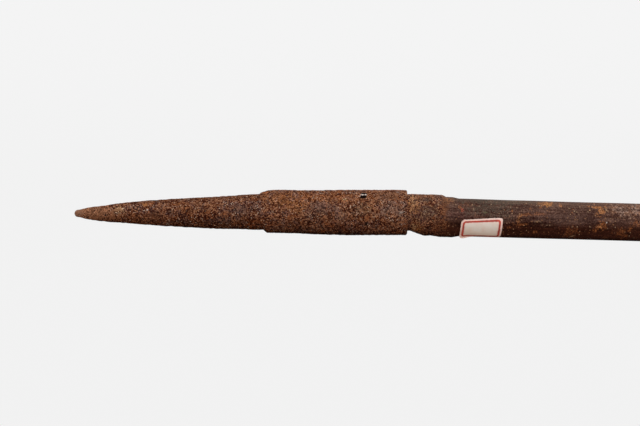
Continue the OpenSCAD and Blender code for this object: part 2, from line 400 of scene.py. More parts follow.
def buildPoint():
    p = pointBar
    bar, nose = p["barRadius"], p["noseRadius"]
    tip, back = p["showsFrom"] + p["length"], p["showsFrom"] - p["driven"]
    profile = [(back, bar - 1), (back + 1, bar)]
    profile += [(a, bar) for a in range(back + 4, p["fineFrom"], 4)]
    for a in np.arange(p["fineFrom"], tip - p["noseFrom"], p["step"]):
        profile.append((a, bar * min(1, (tip - a) / p["length"]) ** p["curve"]))
    for angle in range(0, 88, 8):
        t = math.radians(angle)
        profile.append((tip - nose + nose * math.sin(t), nose * math.cos(t)))
    profile = np.array(profile)
    along, turns = np.meshgrid(profile[:, 0], around(p["columns"]), indexing="ij")
    radius = np.repeat(profile[:, 1:], p["columns"], 1)
    up = radius * np.sin(turns)
    own = np.stack([along, radius * np.cos(turns), up], -1)
    depth = rustDepth(own, 3)
    worked = fractalAt(own * [0.35, 1, 1], 11.0, 2, 8)  # the smith's flats
    wearAndGlint = p["topWear"] * smooth(0.2, 0.9, np.sin(turns))
    sunk = depth - p["proud"] + p["flats"] * worked + wearAndGlint
    sunk = sunk * np.clip(radius / p["calmRadius"], 0.45, 1)  # calmer towards the tip
    sunk = sunk * smooth(p["fineFrom"], p["fineFrom"] + 4, along)  # none inside the socket
    placed = headRound(along, radius - sunk, turns)
    marks = {"hollow": np.clip(depth / 0.9, 0, 1), "under": smooth(0.1, 0.95, -np.sin(turns)),
             "marks": paintMarks(pointMarks, along, up, np.cos(turns) > 0, 21)}
    ends = headRound(np.array([back, tip]), np.zeros(2), np.zeros(2))
    return makePiece("ironPoint", *capped(placed, *ends, marks), slot="rusted_iron")


pipeSocket = {"radius": 17.0, "bore": 13.8, "length": 110, "fullLength": 44, "neck": 0.7,
              "upperSlope": 16, "lowerSlope": 44, "skew": 2.7, "lip": 0.3, "shoulderRound": 1.0,
              "mouthRound": 1.1, "mouthWear": 0.9, "mouthWearReach": 0.9, "proud": 0.30,
              "lowWear": 0.6, "lowWearAt": 88, "lowWearReach": 40, "columns": 240, "rows": 240,
              # the crust stays inside the pipe's own greatest width and height
              "widest": 16.98, "lowest": -16.63, "highest": 19.60,
              # the mouth's rounded edge and face: how far forward, how far in, how rough
              "mouthRows": ((0.45, 0.25, 1), (0.08, 0.75, 1), (0.0, 1.35, 0.6), (0.0, 2.1, 0.3),
                            (0.0, 2.8, 0))}
socketMarks = [
    (30, 10.5, 42, 9, (0.2, 0.08, 0.034), 0.35, 1.2),
    (68, 10.5, 50, 10, (0.33, 0.118, 0.042), 0.38, 1.3),
    (82, 4, 16, 9, (0.3, 0.115, 0.038), 0.45, 1.3),
    (98, 9, 26, 9, (0.215, 0.085, 0.034), 0.45, 1.3),
    (47.6, 9.7, 3, 0.9, (0.62, 0.42, 0.22), 0.95, 0.4, -12),
    (63, 3.5, 24, 9, (0.125, 0.085, 0.075), 0.55, 1.2),
    (9, 2, 20, 13, (0.175, 0.112, 0.088), 0.5, 1.2),
    (12, 12.5, 26, 6, (0.135, 0.062, 0.035), 0.55, 1),
    (34.5, 2, 14, 7, (0.15, 0.09, 0.05), 0.45, 1.2),
    (4.6, -0.2, 2.4, 1.2, (0.55, 0.46, 0.4), 0.6, 1.8),
    (1.8, -1.4, 1.2, 1.6, (0.6, 0.52, 0.46), 0.7, 1.2),
    (36.3, 12.1, 1.1, 1, (0.7, 0.55, 0.42), 1, 0.3),
    # painted shadow: a black patch just below the head of the upper front nail
    (33.5, 11.4, 5.4, 2.2, (0.004, 0.002, 0.0015), 1, 0.2, 0, 0.15),
    (79, -10.5, 56, 9, (0.15, 0.062, 0.032), 0.3, 1.1),
    (48, -2.5, 60, 8, (0.165, 0.08, 0.045), 0.35, 1.5),
]
nailSet = {"at": 33, "turns": {"nail_upper_front": 50, "nail_lower_front": -32,
                               "nail_upper_back": 148, "nail_lower_back": 230},
           "headed": ("nail_upper_front", "nail_lower_back"), "headRadius": 2.65,
           "headHeight": 2.1, "seat": 16.85, "skirt": 0.9, "columns": 72,
           "shankRadius": 1.3, "innerEnd": 5.1, "tipLength": 2.5, "holeRadius": 1.55,
           # painted highlights of a head, three spots seen along the nail: forward, up, size
           "wearAndGlint": ((2.25, -0.42, 0.46), (0.80, -1.40, 0.44), (-1.45, -1.05, 0.48)),
           # a band of painted highlight joins the spots: its strength, height and reach; then the
           # turn it is seen from and the height where the crust begins
           "lit": 0.36, "litAt": 13.15, "litReach": 0.62, "seenFrom": 50, "crusted": 14.45,
           # the headless nails
           "sunk": 0.35, "endRadius": 1.25, "bent": 0.3,
           # a hole that rust has widened: how far it has moved, and its radius
           "eaten": {"nail_lower_front": (-0.9, 1.75)}}


def hammeredRadius(along, turn):
    # the front end is cut to a cone that leans up; this is its radius from the pipe's axis
    s = pipeSocket
    rim = s["bore"] + s["lip"]
    top, bottom = s["length"] + s["skew"] / 2, s["length"] - s["skew"] / 2
    tanTop, tanBottom = (math.tan(math.radians(s[k])) for k in ("upperSlope", "lowerSlope"))
    tip = (2 * rim + tanTop * top + tanBottom * bottom) / (tanTop + tanBottom)
    rise = rim - tanTop * (tip - top)
    half = math.radians((s["upperSlope"] + s["lowerSlope"]) / 2)
    lean = math.radians((s["lowerSlope"] - s["upperSlope"]) / 2)
    back, sine = tip - along, np.sin(turn)
    c, k = math.cos(half) ** 2, back * math.cos(lean) + rise * math.sin(lean)
    qa = c - (sine * math.sin(lean)) ** 2
    qb = 2 * sine * (k * math.sin(lean) - c * rise)
    qc = c * (back ** 2 + rise ** 2) - k ** 2
    return (-qb + np.sqrt(np.maximum(qb ** 2 - 4 * qa * qc, 0))) / (2 * qa)


def pipeRadius(along, turn):
    s = pipeSocket
    narrowed = (along - s["fullLength"]) / (s["length"] - s["fullLength"])
    plain = s["radius"] - s["neck"] * np.clip(narrowed, 0, 2)
    cone = hammeredRadius(along, turn)
    # the shoulder between pipe and cone is hammered round
    blend = s["shoulderRound"]
    h = np.clip(0.5 + 0.5 * (cone - plain) / blend, 0, 1)
    return cone * (1 - h) + plain * h - blend * h * (1 - h)


def buildSocket():
    s, n = pipeSocket, nailSet
    turn = around(s["columns"])
    # where the cone meets the bar on each line along the pipe
    tries = np.arange(s["length"] - 14, s["length"] + 3, 0.1)[:, None]
    reached = tries < s["length"] + s["skew"] / 2 * np.sin(turn)
    clear = (hammeredRadius(tries, turn[None, :]) > s["bore"] + 0.12) & reached
    rim = (tries * clear).max(0)
    share = np.linspace(0, 1, s["rows"])[:, None]
    along = s["mouthRound"] + share * (rim[None, :] - s["mouthRound"])
    turns = np.repeat(turn[None, :], s["rows"], 0)
    # points near a drilled hole move to its edge, so that the edge is sharp
    inHole = np.zeros(along.shape, bool)
    bevel = np.zeros(along.shape)
    for node, turnDegrees in n["turns"].items():
        shift, hole = n["eaten"].get(node, (0, n["holeRadius"]))
        nailTurn = math.radians(turnDegrees)
        da = along - n["at"] - shift
        dt = s["radius"] * np.sin(turns - nailTurn)
        side = np.cos(turns - nailTurn) > 0
        gap = np.hypot(da, dt)
        edge = side & (np.abs(gap - hole) < 0.30)
        inside = side & (gap < hole)
        wanted = np.where(inside, hole - 0.06, hole + 0.05)
        pull = np.where(edge, wanted / np.maximum(gap, 0.1), 1)
        along = np.where(edge, n["at"] + shift + da * pull, along)
        pulled = nailTurn + np.arcsin(np.clip(dt * pull / s["radius"], -1, 1))
        turns = np.where(edge, pulled, turns)
        inHole |= inside
        bevel = np.maximum(bevel, side * (1 - smooth(0, 0.6, gap - hole)))
    radius = pipeRadius(along, turns)
    own = np.stack([along, radius * np.cos(turns), radius * np.sin(turns)], -1)
    depth = rustDepth(own, 40)
    keep = smooth(0, 1.2, rim[None, :] - along)  # the hammered lip stays on the bar
    bites = 0.35 + 0.3 * smooth(0.5, 1, np.sin(turns)) + fractalAt(own, 3.0, 2, 44)
    fading = np.exp(-(along - s["mouthRound"]) / s["mouthWearReach"])
    wearAndGlint = s["mouthWear"] * fading * np.clip(bites, 0, 1)
    low = s["lowWear"] * hump((along - s["lowWearAt"]) / s["lowWearReach"])
    low = low * smooth(0.2, 0.9, -np.sin(turns))
    sunk = (depth - s["proud"] + low) * keep + 0.3 * bevel + wearAndGlint
    radius = np.maximum(radius - sunk, s["bore"] + 0.03)
    radius = np.where(inHole, s["bore"] + 0.02, radius)
    outer = headRound(along, radius, turns)
    outer[..., 1] = np.clip(outer[..., 1], -s["widest"], s["widest"])
    outer[..., 2] = np.clip(outer[..., 2], s["lowest"], s["highest"])
    rough = np.clip(depth[0], 0, 0.5)
    mouth = [headRound(a + 0.3 * rough * share, s["radius"] - inward - rough * share, turn)
             for a, inward, share in s["mouthRows"]]
    bore = [headRound(a + 0 * turn, s["bore"] + 0 * turn, turn) for a in (0.0, 36.0, 72.0)]
    front = headRound(rim, s["bore"] + 0 * turn, turn)
    rings = np.concatenate([mouth[::-1], outer, [front], bore[::-1]])
    count = len(rings)
    hollow = np.full((count, s["columns"]), 0.4)
    lower = np.repeat(0.5 * smooth(0.1, 0.95, -np.sin(turn))[None, :], count, 0)
    colour = np.zeros((count, s["columns"], 4))
    shell = slice(len(mouth), len(mouth) + s["rows"])
    # painted shade: inside the drilled holes the hollow mark is full, which darkens them
    hollow[shell] = np.where(inHole, 1.0, np.clip(depth / 0.9 + 0.35 * bevel, 0, 1))
    up = radius * np.sin(turns)
    colour[shell] = paintMarks(socketMarks, along, up, np.cos(turns) > 0, 51)
    # painted shade: the inside of each drilled hole is painted near black
    colour[shell][inHole] = (0.012, 0.006, 0.004, 1)
    marks = {"hollow": hollow.reshape(-1), "under": lower.reshape(-1),
             "marks": colour.reshape(-1, 4)}
    faces = gridFaces(count, s["columns"], closed=True)
    return makePiece("pipeSocket", rings, faces, marks, slot="rusted_iron")


# bare is the pale colour of the painted highlights on a head
nailBlack = {"colour": (0.0035, 0.0028, 0.0026), "rustColour": (0.17, 0.070, 0.042),
             "bare": (0.95, 0.80, 0.73)}


def blackNail():
    material, tree, shader = startMaterial("black nail")
    coords = objectCoords(tree)
    grime = noiseAt(tree, coords, 1.1, 3, 0.6)
    amount = times(tree, steps(tree, grime, 0.26, 0.44), markNode(tree, "rim")["Fac"])
    colour = mixed(tree, amount, nailBlack["colour"], nailBlack["rustColour"])
    # painted highlights: on top of the head a pale band and three pale spots stand in for the
    # lamps' glints
    colour = mixed(tree, markNode(tree, "wearAndGlint")["Fac"], colour, nailBlack["bare"])
    tree.links.new(colour, shader.inputs["Base Color"])
    tree.links.new(sums(tree, "MULTIPLY_ADD", amount, 0.5, 0.09), shader.inputs["Roughness"])
    shader.inputs["Specular IOR Level"].default_value = 0.012
    bumped(tree, shader, [(noiseAt(tree, coords, 1.7, 2, 0.5), 0.25, 0.12)])
    return material


def buildNail(node, turnDegrees, seed):
    # p and q lie across the nail, p forward, and r is the distance from the pipe's axis
    n = nailSet
    headed = node in n["headed"]
    if headed:
        outerEnd = n["seat"] + n["headHeight"]
        under = n["seat"] - n["skirt"]
        dome = (n["headRadius"] ** 2 + n["headHeight"] ** 2) / (2 * n["headHeight"])
        last = math.asin(n["headRadius"] / dome)
        profile = [(dome * math.sin(t), outerEnd - dome + dome * math.cos(t))
                   for t in np.linspace(0.05, last, 30)]
        profile += [(n["headRadius"] - 0.1, under), (n["shankRadius"], under)]
    else:
        outerEnd = pipeSocket["radius"] - n["sunk"]
        profile = [(0.4, outerEnd), (0.8, outerEnd - 0.04), (n["endRadius"] - 0.1, outerEnd - 0.1),
                   (n["endRadius"], outerEnd - 0.35), (n["endRadius"], outerEnd - 2.0)]
    profile += [(n["shankRadius"], 12.0), (n["shankRadius"], n["innerEnd"] + n["tipLength"]),
                (0.3, n["innerEnd"])]
    profile = np.array(profile)
    t = around(n["columns"])
    p, q = profile[:, :1] * np.cos(t), profile[:, :1] * np.sin(t)
    r = profile[:, 1:] + 0 * p
    shown = r > n["seat"] - 0.5
    dents = np.clip(0.5 + fractalAt(np.stack([p, q, r], -1), 2.6, 2, seed), 0, 1.2) * shown
    p, q, r = p * (1 - 0.03 * dents), q * (1 - 0.03 * dents), r - 0.07 * dents
    rim, wearAndGlint = np.ones(p.shape), np.zeros(p.shape)
    if headed:
        # a painted highlight across the head, a band brightest in three spots, below a crusted
        # upper edge
        seen = math.radians(n["seenFrom"])
        seenUp = r * math.sin(seen) + q * math.cos(seen)
        wearAndGlint = n["lit"] * hump((seenUp - n["litAt"]) / n["litReach"])
        for forward, up, size in n["wearAndGlint"]:
            spot = smooth(0.6 * size, 1.3 * size, np.hypot(p - forward, q - up))
            wearAndGlint = np.maximum(wearAndGlint, 1 - spot)
        wearAndGlint = wearAndGlint * (r > n["seat"])
        edge = 0.08 * smooth(0.7, 1.0, np.hypot(p, q) / n["headRadius"])
        rim = np.maximum(edge, smooth(n["crusted"], n["crusted"] + 0.3, seenUp))
    else:
        p = p + n["bent"] * smooth(outerEnd - 2.5, outerEnd - 1.5, r)
    sine, cosine = math.sin(math.radians(turnDegrees)), math.cos(math.radians(turnDegrees))

    def placed(p, q, r):
        return headPoints(n["at"] + p, r * sine + q * cosine, r * cosine - q * sine)

    top, end = (placed(*np.array([0.0, 0.0, r])) for r in (outerEnd - 0.03, n["innerEnd"]))
    mesh = capped(placed(p, q, r), top, end, {"rim": rim, "wearAndGlint": wearAndGlint})
    piece = makePiece(node.replace("nail_", "nailHead_"), *mesh, slot="black_nail")
    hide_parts(node)
    return piece


shaftPole = {"radius": 14.15, "length": poleLength, "tenonRadius": 13.7, "tenonLength": 70,
             "collarRadius": 15.5, "collarRise": 1.15, "collarEnd": 26, "collarDrop": 3.5,
             "shoulderStart": 2.5, "shoulderSlope": 20, "swellRadius": 15.15, "swellRise": 8,
             "swellKeep": 34.5, "swellEnd": 39, "taperEnd": 76.8, "taperGain": 0.1,
             "buttRound": 3, "columns": 144, "fineStep": 0.5, "fineEnd": 180, "coarseStep": 5}
woodTints = {"ochre": (0.42, 0.175, 0.068), "ochrePale": (0.64, 0.36, 0.185),
             "orange": (0.33, 0.108, 0.034), "red": (0.42, 0.085, 0.045),
             "rustBrown": (0.135, 0.047, 0.018), "greenGrey": (0.066, 0.058, 0.043),
             "paleGrey": (0.30, 0.26, 0.235), "peach": (0.38, 0.185, 0.105),
             "dark": (0.018, 0.009, 0.006), "tan": (0.48, 0.33, 0.20),
             "wine": (0.085, 0.030, 0.028), "amber": (0.38, 0.145, 0.044),
             "amberPale": (0.50, 0.215, 0.085),
             # the wood itself, its dust with a painted sheen along the top, its underside and its
             # stains
             "grain": ((0.26, (0.024, 0.006, 0.004)), (0.42, (0.063, 0.027, 0.020)),
                       (0.54, (0.094, 0.048, 0.036)), (0.76, (0.194, 0.108, 0.082))),
             "dustAndSheenTint": (0.108, 0.066, 0.045), "underside": (0.042, 0.0092, 0.0040),
             "lowCrust": (0.74, 0.62, 0.54), "stain": (0.27, 0.115, 0.042),
             "dots": ((0.0, (0.22, 0.070, 0.026)), (0.6, (0.36, 0.17, 0.075)),
                      (1.0, (0.55, 0.38, 0.25))),
             "rubbed": (0.25, 0.115, 0.062), "paleCrumb": (0.60, 0.36, 0.20),
             # the sawn butt
             "rings": ((0.0, (0.060, 0.034, 0.022)), (0.6, (0.135, 0.085, 0.056)),
                       (1.0, (0.175, 0.115, 0.075))), "pores": (0.085, 0.052, 0.036)}
woodMarks = [
    # the rusted end by the mouth
    (4.5, 10, 9, 13, "ochre", 0.66, 1.5),
    (4, 10, 5, 8, "ochrePale", 0.7, 1.6),
    (6.5, 4.5, 6, 7, "ochre", 0.5, 1.5),
    (6.5, -9, 7.5, 6, "ochre", 0.8, 1.1),
    (5.2, -8, 4, 3.4, "ochrePale", 0.9, 1),
    (8.8, -10.6, 2.6, 2, (0.55, 0.22, 0.06), 0.85, 1),
    (12, 8, 13, 2.4, "peach", 0.65, 1.6, -32),
    (19.5, 5.5, 5, 4, "orange", 0.6, 1.2),
    (16, 3.5, 15, 12, "greenGrey", 0.62, 1.3),
    (12, 12, 13, 2.6, "greenGrey", 0.55, 1),
    (27.5, 5.5, 6, 15, "rustBrown", 0.75, 1.2),
    (31, 12.5, 8, 4, "ochre", 0.45, 1.4),
    (27, -4, 8, 10, "rustBrown", 0.65, 1.3),
    # the swelling and round the label
    (41, 5.8, 2.2, 2.6, "red", 0.95, 0.7),
    (39, 7.5, 3, 2, "orange", 0.5, 1),
    (38.5, 1, 18, 7, "wine", 0.5, 1.2),
    (36, -4, 10, 12, "dark", 0.55, 1.2),
    (40.5, 4.6, 1.2, 1.2, "red", 0.9, 0.6),
    (46, 10.5, 15, 5, "rustBrown", 0.45, 1.2),
    (48.6, 9.5, 0.8, 1.6, "tan", 0.7, 0.5),
    (49.2, 6.3, 0.8, 2, "tan", 0.9, 0.5),
    (50.6, 2.6, 0.8, 3, "peach", 0.55, 0.6, 8),
    (54, 1, 9, 2, "red", 0.35, 1.5),
    (63, 5.5, 32, 13, "greenGrey", 0.6, 1.2),
    (58.5, 4, 2.4, 0.9, (0.16, 0.15, 0.07), 0.7, 0.6),
    (77.4, 9, 0.8, 2, "tan", 0.8, 0.5),
    (78.3, 5.8, 0.8, 2.6, "orange", 0.9, 0.5),
    (76, -7, 3, 2, "orange", 0.6, 1),
    # along the shaft
    (104, 12, 11, 3.4, "ochre", 0.95, 0.9),
    (105.5, 11.3, 4, 2.2, (0.52, 0.23, 0.065), 0.8, 0.7),
    (115.2, 11.2, 2.6, 2.6, "ochre", 0.8, 0.9),
    (99.5, 8.8, 1.6, 1.3, "orange", 0.8, 0.7),
    (92, 8, 1.4, 1.2, "orange", 0.7, 0.7),
    (94.5, 3.6, 22, 1.9, "orange", 0.42, 1.3, 4),
    (83.5, 0.6, 3, 7, "ochre", 0.62, 1.1, -14),
    (84, -4, 9, 2.4, "orange", 0.6, 1.5),
    (97.5, -1.6, 4.6, 1, "tan", 0.5, 1),
    (97, -1.7, 2.2, 0.7, "ochrePale", 0.5, 1.2),
    (90, -3.6, 1.3, 1, "orange", 0.7, 0.8),
    (95.6, -3.9, 1, 0.8, "tan", 0.6, 0.6),
    (101, -3.7, 1.2, 0.9, "ochrePale", 0.65, 0.8),
    (106.6, -4.2, 1, 1, "tan", 0.65, 0.6),
    (109, -4, 1.1, 0.9, "tan", 0.75, 0.8),
    (96, -9.5, 3, 2, "orange", 0.5, 1),
    (121.6, 8.9, 1.3, 0.9, "tan", 0.75, 0.6),
    (123.9, 8.2, 1.1, 1, "orange", 0.9, 0.6),
    (124.9, 7, 1.3, 1.3, "tan", 0.9, 0.5),
    (123.4, 5.9, 1, 1.1, "orange", 0.9, 0.5),
    (126.6, 6.2, 1, 1, "tan", 0.9, 0.3),
    (128.2, 4.9, 1, 0.9, "tan", 0.6, 0.3),
    (135.2, 6.6, 1.2, 1.1, "tan", 0.8, 0.5),
    (136.9, 8, 1.4, 1, "ochrePale", 0.8, 0.6),
    (142.5, 10.6, 12.5, 1.7, "amber", 0.85, 1, -3),
    (145, 7.2, 5, 6.5, "amber", 0.95, 0.9, -20),
    (144.6, 6.4, 2.4, 4, "amberPale", 0.8, 0.8, -20),
    (149.3, 8.4, 3.8, 0.8, "tan", 0.9, 0.4, -48),
    (141.5, 5, 2.2, 4, "amber", 0.45, 1.1),
    (145.6, -3, 6.5, 6.5, "orange", 0.85, 1.4, 20),
    (144.6, -4.4, 2.8, 2.8, "amberPale", 0.8, 1),
    (141.3, -6.8, 4.5, 2.6, "orange", 0.8, 1, 30),
    (149.2, -1, 1, 1, (0.8, 0.72, 0.64), 0.9, 0.3),
    (136.8, -4.6, 1, 1, "tan", 0.6, 0.3),
    (161, 8, 13, 6, "paleGrey", 0.42, 1.3, -28),
    (172, 9.5, 7, 10, "paleGrey", 0.5, 1.2, 15),
    (154.5, 10.8, 6, 1.4, "peach", 0.45, 1, -10),
    (164.5, 5.8, 3.2, 2, "peach", 0.6, 1.3),
    (176, 5.5, 7, 13, "peach", 0.62, 1.3, 25),
    (172, -1.5, 9, 5, "orange", 0.42, 1.5),
    (166, 8.5, 34, 10, "peach", 0.3, 1.4),
    (166, -7, 40, 9, "dark", 0.3, 1),
    (158.5, 2.5, 11, 0.7, "dark", 0.75, 0.5, -1),
    (157, 3.4, 5, 0.8, "peach", 0.5, 0.7),
    (123, -8.5, 9.5, 7, "orange", 0.4, 1.8),
    (124.5, -11.8, 5.5, 1, "tan", 0.45, 1, 18),
    (162, -8.5, 8, 6.5, "orange", 0.38, 1.7),
    (168, -4.5, 2, 1.4, "orange", 0.8, 0.8),
    (149.5, -12, 3.5, 1.4, "rustBrown", 0.6, 0.8),
    (118, 0, 46, 9, (0.07, 0.042, 0.036), 0.42, 0.9),
    (66, 13, 62, 6, "greenGrey", 0.6, 0.8),
]


def darkWood():
    material, tree, shader = startMaterial("dark worn wood")
    coords, w = objectCoords(tree), woodTints
    streak = noiseAt(tree, coords, 1.3, 3, 0.7, stretch=(18, 1, 1))
    band = noiseAt(tree, coords, 5.0, 3, 0.55, stretch=(10, 1, 1), shift=4)
    cloud = noiseAt(tree, coords, 17, 4, 0.6, stretch=(2.2, 1, 1), shift=8)
    speck = noiseAt(tree, coords, 0.9, 2, 0.7, shift=2)
    tone = layered(tree, -1.06, ((cloud, 0.60), (band, 0.50), (streak, 0.75), (speck, 1.25)))
    woodLevel = linear(tree, tone, 0.22, 0.74)
    colour = ramp(tree, tone, w["grain"])
    x, y, z = addNode(tree, "SeparateXYZ", {0: coords}).outputs
    # the upper side is dusty and grey-brown, the dust also a painted sheen along the top; the
    # underside is dark and reddish
    dustAndSheen = times(tree, steps(tree, z, 0.003, 0.012), steps(tree, band, 0.36, 0.60))
    colour = washed(tree, colour, dustAndSheen, 0.36, grained(tree, w["dustAndSheenTint"], woodLevel))
    under = steps(tree, z, 0.0008, -0.0070)
    colour = washed(tree, colour, under, 0.88, grained(tree, w["underside"], woodLevel))
    # rust from the socket has soaked into the swollen end
    crusted = markNode(tree, "crust")["Fac"]
    rusty, pale, grain, blotch, crumb, rustLevel = rustLayers(tree, coords, shift=20)
    rusty = mixed(tree, steps(tree, z, -0.001, -0.012), rusty, w["lowCrust"], "MULTIPLY")
    colour = mixed(tree, times(tree, crusted, steps(tree, blotch, 0.32, 0.50)), colour, rusty)
    # stray rust stains where no marks are painted, behind and further along the shaft
    stray = noiseAt(tree, coords, 13, 4, 0.7, stretch=(2, 1, 1), shift=31)
    stray = times(tree, steps(tree, stray, 0.62, 0.72), steps(tree, grain, 0.42, 0.60))
    far = steps(tree, x, mouthX + 0.180, mouthX + 0.215)
    unmarked = sums(tree, "MAXIMUM", far, steps(tree, y, -0.002, 0.006))
    colour = mixed(tree, times(tree, stray, unmarked), colour, w["stain"])
    # fine rust dots, more of them where the wood is rubbed
    dots, own = grains(tree, coords, 1.9)
    many = steps(tree, sums(tree, "MULTIPLY_ADD", band, 0.5, own[0]), 0.88, 0.98)
    amount = times(tree, steps(tree, dots, 0.30, 0.16), many)
    colour = washed(tree, colour, amount, 0.8, ramp(tree, own[1], w["dots"]))
    colour = washed(tree, colour, steps(tree, speck, 0.63, 0.70), 0.45, w["rubbed"])
    # the painted marks, broken up by the grain below them
    marks = markNode(tree, "marks")
    fine = sums(tree, "MULTIPLY_ADD", crumb, 0.6, sums(tree, "MULTIPLY_ADD", speck, 0.4, grain))
    broken = mixed(tree, crusted, steps(tree, fine, 0.77, 0.84), steps(tree, crumb, 0.12, 0.30))
    level = mixed(tree, crusted, woodLevel, rustLevel)
    colour = mixed(tree, times(tree, marks["Alpha"], broken), colour,
                   grained(tree, marks["Color"], level, marks["Alpha"]))
    colour = mixed(tree, times(tree, pale, times(tree, crusted, 0.8)), colour, w["paleCrumb"])
    # the sawn butt shows its rings
    spread = addNode(tree, "Mapping", {"Vector": coords, "Scale": (0, 1, 1),
                                       "Location": (0, 0.0032, -0.0021)}).outputs[0]
    rings = addNode(tree, "TexWave", {"Vector": spread, "Scale": 150.0, "Distortion": 1.4,
                                      "Detail": 2.0, "Detail Scale": 90.0},
                    wave_type="RINGS", rings_direction="X").outputs[0]
    sawn = mixed(tree, steps(tree, speck, 0.45, 0.7), ramp(tree, rings, w["rings"]), w["pores"])
    colour = mixed(tree, markNode(tree, "sawn")["Fac"], colour, sawn)
    tree.links.new(colour, shader.inputs["Base Color"])
    dull = ramp(tree, tone, [(0.35, (0.50, 0.50, 0.50)), (0.65, (0.74, 0.74, 0.74))])
    tree.links.new(dull, shader.inputs["Roughness"])
    shader.inputs["Specular IOR Level"].default_value = 0.03
    grit = times(tree, sums(tree, "ADD", crumb, grain), crusted)
    bumped(tree, shader, [(streak, 0.5, 0.22), (grit, 1.0, 0.55), (speck, 0.35, 0.12)])
    return material


def buildShaft():
    s = shaftPole
    slope = math.tan(math.radians(headSet["pitch"]))
    plainEnd, inward = s["length"] - s["buttRound"], s["radius"] - s["buttRound"]
    butt = [(plainEnd + s["buttRound"] * math.sin(t), inward + s["buttRound"] * math.cos(t))
            for t in np.linspace(0, math.pi / 2, 8)]
    butt += [(s["length"], r) for r in (9.5, 7.5, 5.5, 3.5, 1.5)]
    rows = np.concatenate([[-s["tenonLength"], -s["tenonLength"] + 0.8, -40, -10, -1],
                           np.arange(0, s["fineEnd"], s["fineStep"]),
                           np.arange(s["fineEnd"], plainEnd - 2, s["coarseStep"]),
                           [a for a, r in butt]])
    x, turns = np.meshgrid(rows, around(s["columns"]), indexing="ij")
    headZ = headSet["rise"] + x * slope
    middle = headZ * (1 - smooth(0, 30, x))

    def reach(circleZ, radius):
        # from the row's middle out to a circle whose middle is at circleZ
        off = middle - circleZ
        across = np.maximum(radius ** 2 - (off * np.cos(turns)) ** 2, 0)
        return -off * np.sin(turns) + np.sqrt(across)

    # the tenon widens to a whittled shoulder, then come the collar, its drop and the swelling
    widening = np.maximum(0, x - s["shoulderStart"]) * math.tan(math.radians(s["shoulderSlope"]))
    tenon = reach(headZ, s["tenonRadius"] + widening)
    bare = np.where(x <= s["shoulderStart"], reach(headZ, s["tenonRadius"]), 0)
    fall = np.clip((x - s["collarEnd"]) / s["collarDrop"], 0, 1)
    drop = s["collarRadius"] - s["swellRadius"] + s["collarRise"]
    collar = reach(s["collarRise"], s["collarRadius"] - fall * drop)
    onCollar = (x > s["shoulderStart"]) & (x < s["collarEnd"] + s["collarDrop"])
    collar = np.where(onCollar, np.minimum(collar, tenon), 0)
    body = np.interp(rows, [s["collarEnd"] - s["swellRise"], s["collarEnd"], s["swellKeep"],
                            s["swellEnd"], s["taperEnd"]],
                     [s["radius"], s["swellRadius"], s["swellRadius"],
                      s["radius"] + s["taperGain"], s["radius"]])
    pole = np.where(x >= s["collarEnd"] - s["swellRise"], reach(0.0, body[:, None]), 0)
    radius = np.maximum(np.maximum(bare, collar), pole)
    radius[-len(butt):] = np.array([r for a, r in butt])[:, None]
    radius[0] = s["tenonRadius"] - 0.8
    shown = smooth(-0.5, 0.5, x) * (1 - smooth(s["length"] - 1.0, s["length"], x))
    up = middle + radius * np.sin(turns)
    own = np.stack([x, -(radius * np.cos(turns)), up], -1)
    crust = smooth(-1, 1, x) * (1 - smooth(20, 36, x + 6 * fractalAt(own, 9.0, 2, 77)))
    depth = rustDepth(own, 60)
    lengthwise = fractalAt(own * [0.06, 1, 1], 2.6, 2, 70)
    wave = fractalAt(own * [0.25, 0.6, 0.6], 13.0, 2, 72)
    sunk = crust * (depth - 0.30) + (1 - crust) * (0.06 * lengthwise - 0.10) + 0.12 * wave
    radius = radius - sunk * shown
    points = np.stack([x, -radius * np.cos(turns), middle + radius * np.sin(turns)], -1)
    marks = {"crust": crust, "sawn": smooth(s["length"] - 0.2, s["length"], x),
             "marks": paintMarks(woodMarks, x, up, np.cos(turns) > 0, 81, woodTints)}
    ends = [(-s["tenonLength"], 0, headZ[0, 0]), (s["length"], 0, 0)]
    return makePiece("woodenShaft", *capped(points, *ends, marks), slot="dark_wood")


labelPaper = {"start": 39.7, "length": 31.4, "wrap": 19.6, "nearShort": 3.2, "thickness": 0.2,
              "gap": 0.06, "corner": 2.5, "topTurn": -2.6, "rowTilt": 4.6, "endLean": 3.0,
              "peelTurn": 48, "peelSpread": 32, "curl": 3.5, "columns": 110, "rows": 84,
              # the printed frame
              "margin": 1.35, "line": 1.55, "lineCorner": 1.8,
              "ink": ((0.35, (0.34, 0.024, 0.018)), (0.62, (0.66, 0.060, 0.030))),
              # the paper, its lower part, its top edge, its fibres and its tinge by the frame
              "sheet": ((0.35, (0.93, 0.79, 0.71)), (0.5, (0.95, 0.86, 0.79)),
                        (0.68, (0.96, 0.90, 0.85))), "lowPart": (0.98, 0.82, 0.69),
              "topEdge": (0.97, 0.82, 0.77), "fibre": (0.60, 0.50, 0.43),
              "bleed": (0.86, 0.52, 0.44), "border": (0.99, 0.70, 0.62)}


